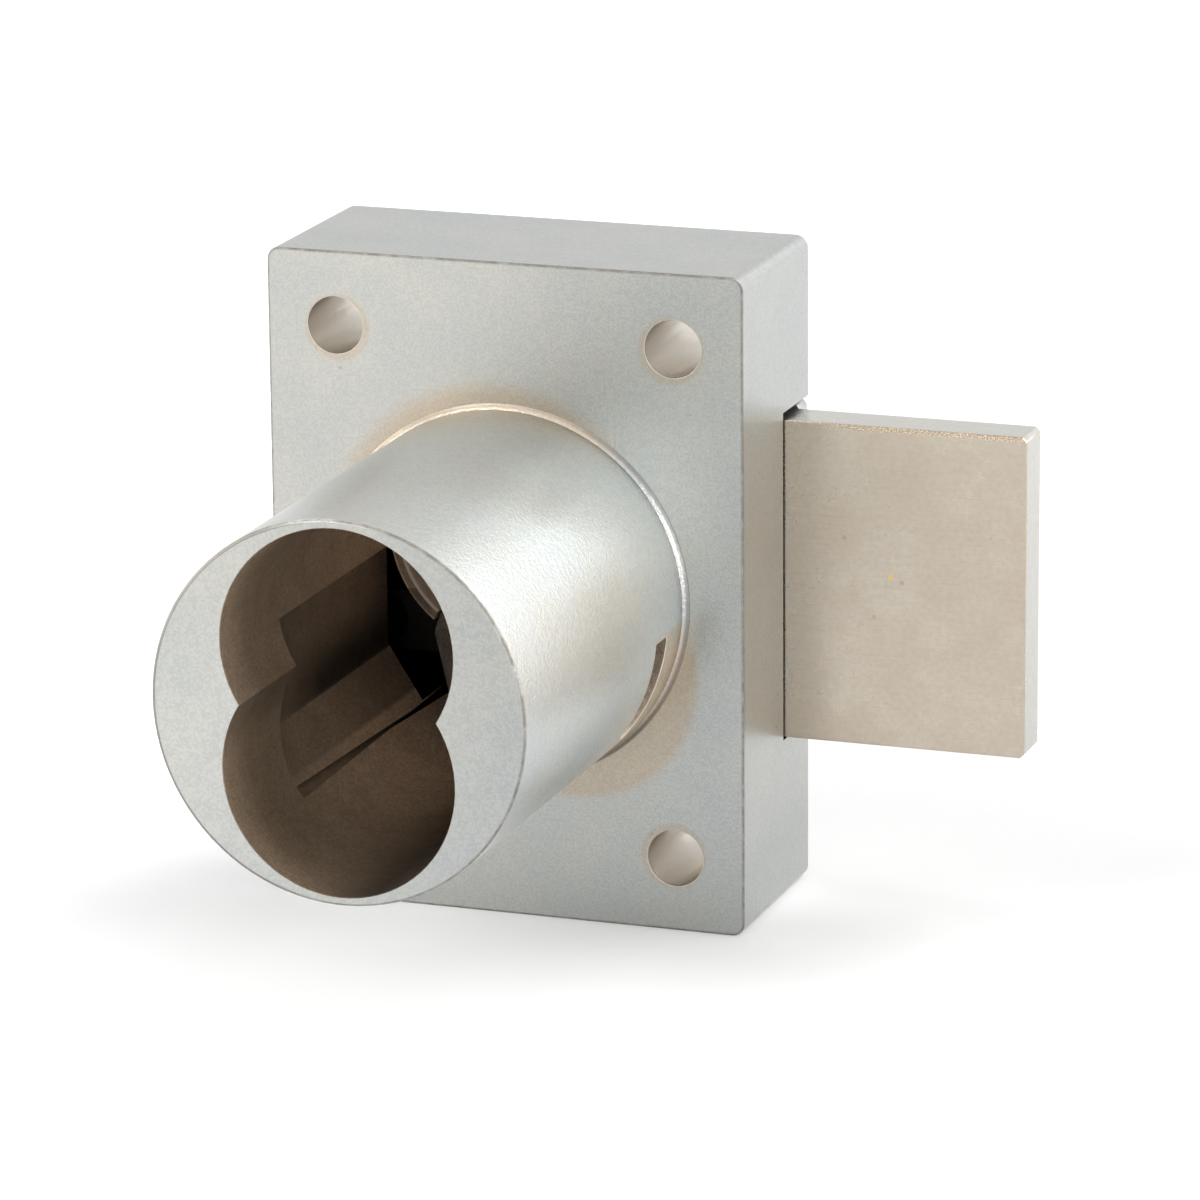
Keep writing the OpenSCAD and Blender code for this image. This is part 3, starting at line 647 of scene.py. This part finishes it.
# Name, pale and dark colour, roughness, clouds and grain in millimetres, and the grain's depth
driver_steel = turned_steel("driver_steel", (0.20, 0.17, 0.14), (0.12, 0.10, 0.085), 0.45, 2.0, 0.16, 0.4)
pin_steel = turned_steel("pin_steel", (0.62, 0.61, 0.60), (0.52, 0.51, 0.50), 0.22, 1.0, 0.10, 0.1)
spring_steel = turned_steel("spring_steel", (0.24, 0.25, 0.28), (0.16, 0.17, 0.20), 0.3, 2.0, 0.10, 0.15)
keeper_steel = turned_steel("keeper_steel", (0.030, 0.026, 0.022), (0.018, 0.015, 0.013), 0.5, 2.5, 0.2, 0.3)
crank_steel = turned_steel("crank_steel", (0.15, 0.13, 0.11), (0.09, 0.08, 0.07), 0.42, 2.5, 0.16, 0.3)
washer_brass = turned_steel("washer_brass", (0.70, 0.52, 0.25), (0.58, 0.41, 0.19), 0.3, 2.0, 0.12, 0.2)

# Node, piece, body, slot, material, and the width of its softened edges in millimetres
INNER = [
    ("driver", "core_driver", "driver", "driver_steel", driver_steel, 0.15),
    ("drive_pin_upper", "upper_pin", "driver", "pin_steel", pin_steel, 0.05),
    ("drive_pin_lower", "lower_pin", "driver", "pin_steel", pin_steel, 0.05),
    ("disc_spring", "conical_spring", "case", "spring_steel", spring_steel, 0.05),
    ("keeper_plate", "driver_keeper", "case", "driver_steel", keeper_steel, 0.12),
    ("keeper_screws", "keeper_screw_pair", "case", "screw_steel", screw_steel, 0.06),
    ("thrust_washer", "brass_washer", "driver", "washer_brass", washer_brass, 0.04),
    ("crank", "crank_arm", "driver", "driver_steel", crank_steel, 0.15),
    ("crank_stud", "crank_pin", "driver", "pin_steel", pin_steel, 0.08),
    ("bolt_spring", "leaf_spring", "case", "spring_steel", spring_steel, 0.04),
]
for node, name, body, slot, material, width in INNER:
    bm = merged_copy(node)
    soften(bm, width * MM, 2, lambda co: True)
    finished(bm, node, name, body, [material])


# Floor, light and camera. The lock stands on a white table in a bright tent, lit softly from
# all sides and most from the right. The table keeps its shadow, the rest around it is white.

TABLE_REACH = 4000 * MM
TABLE_WHITE = (0.82, 0.82, 0.82, 1)

bm = bmesh.new()
bmesh.ops.create_grid(bm, x_segments=1, y_segments=1, size=TABLE_REACH)
bmesh.ops.translate(bm, verts=bm.verts, vec=(0, 0, -HALF_H))
mesh = bpy.data.meshes.new("table")
bm.to_mesh(mesh)
bm.free()
table = bpy.data.objects.new("table", mesh)
bpy.context.scene.collection.objects.link(table)


def seen_directly(tree):
    """White on rays that show the background: the camera's, and those mirrored or let through."""
    path = add(tree, "LightPath").outputs
    shown = maths(tree, "ADD", path["Is Camera Ray"], path["Is Glossy Ray"])
    return maths(tree, "ADD", shown, path["Is Transmission Ray"], clamp=True)


# Painted light on the table, a glow seen by the camera and in mirrors: more of it further out, in front of
# the lock and to its left
table_white = bpy.data.materials.new("table_white")
table_white.use_nodes = True
tree = table_white.node_tree
shader = tree.nodes["Principled BSDF"].inputs
shader["Base Color"].default_value = TABLE_WHITE
shader["Roughness"].default_value = 0.9
shader["Specular IOR Level"].default_value = 0.0
place, x, y, z = coordinates(tree)
far_out = ramp(tree, vector_length(tree, place), 70 * MM, 300 * MM, 0.09, 0.25)
in_front = ramp(tree, y, -3 * MM, -24 * MM, 0.0, 0.13)
at_left = ramp(tree, x, -10 * MM, -42 * MM, 0.0, 0.20)
glow = maths(tree, "ADD", far_out, maths(tree, "ADD", in_front, at_left))
tree.links.new(times(tree, glow, seen_directly(tree)), shader["Emission Color"])
shader["Emission Strength"].default_value = 1.0
mesh.materials.append(table_white)

TENT_GLOW = 0.15
world = bpy.data.worlds.new("tent")
bpy.context.scene.world = world
world.use_nodes = True
tree = world.node_tree
backdrop = tree.nodes["Background"].inputs
backdrop["Color"].default_value = (1, 1, 1, 1)
tree.links.new(ramp(tree, seen_directly(tree), 0.0, 1.0, TENT_GLOW, 1.0), backdrop["Strength"])


def softbox(name, around, height, size, power):
    """A square soft lamp a metre away that faces the lock, at an angle clockwise from behind it."""
    lamp = bpy.data.lights.new(name, "AREA")
    lamp.size = size
    lamp.energy = power
    box = bpy.data.objects.new(name, lamp)
    bpy.context.scene.collection.objects.link(box)
    flat = math.cos(height)
    away = Vector((math.sin(around) * flat, math.cos(around) * flat, math.sin(height)))
    box.matrix_world = Matrix.Translation(away) @ away.to_track_quat("Z", "Y").to_matrix().to_4x4()
    box.visible_camera = False


# Name, degrees around the lock, degrees above the table, size in metres, watts
SOFTBOXES = [
    ("key_behind_right", 45, 45, 0.6, 4.7),
    ("low_behind_right", 45, 15, 0.6, 1.4),
    ("low_right", 90, 15, 0.6, 6.8),
    ("right", 90, 45, 0.6, 0.8),
    ("low_front", 155, 10, 1.0, 4.2),
    ("front", 155, 35, 0.6, 0.5),
    ("low_front_left", 225, 15, 0.6, 0.7),
    ("front_left", 225, 45, 0.6, 3.9),
    ("low_left", 270, 15, 0.6, 4.0),
    ("overhead", 0, 85, 0.6, 1.1),
]
for name, around, height, size, power in SOFTBOXES:
    softbox(name, math.radians(around), math.radians(height), size, power)

# The camera looks down a little from the front right, half a metre away, through a long lens
AZIMUTH = math.radians(-19.5948)
ELEVATION = math.radians(15.3355)
ROLL = math.radians(-0.4948)
DISTANCE = 498.9324 * MM
ACROSS = 7.1492 * MM
UP = -0.6634 * MM
FOCAL = 197.24
SENSOR = 36.0
flat = math.cos(ELEVATION)
look = Vector((math.sin(AZIMUTH) * flat, math.cos(AZIMUTH) * flat, -math.sin(ELEVATION)))
level = Vector((math.cos(AZIMUTH), -math.sin(AZIMUTH), 0))
upright = level.cross(look)
right = math.cos(ROLL) * level + math.sin(ROLL) * upright
top = -math.sin(ROLL) * level + math.cos(ROLL) * upright
lens = bpy.data.cameras.new("camera")
lens.sensor_width = SENSOR
lens.lens = FOCAL
lens.clip_start = 0.01
camera = bpy.data.objects.new("camera", lens)
bpy.context.scene.collection.objects.link(camera)
turned = Matrix((right, top, -look)).transposed().to_4x4()
camera.matrix_world = Matrix.Translation(ACROSS * level + UP * upright - DISTANCE * look) @ turned
bpy.context.scene.camera = camera
bpy.context.scene.view_settings.view_transform = "Standard"
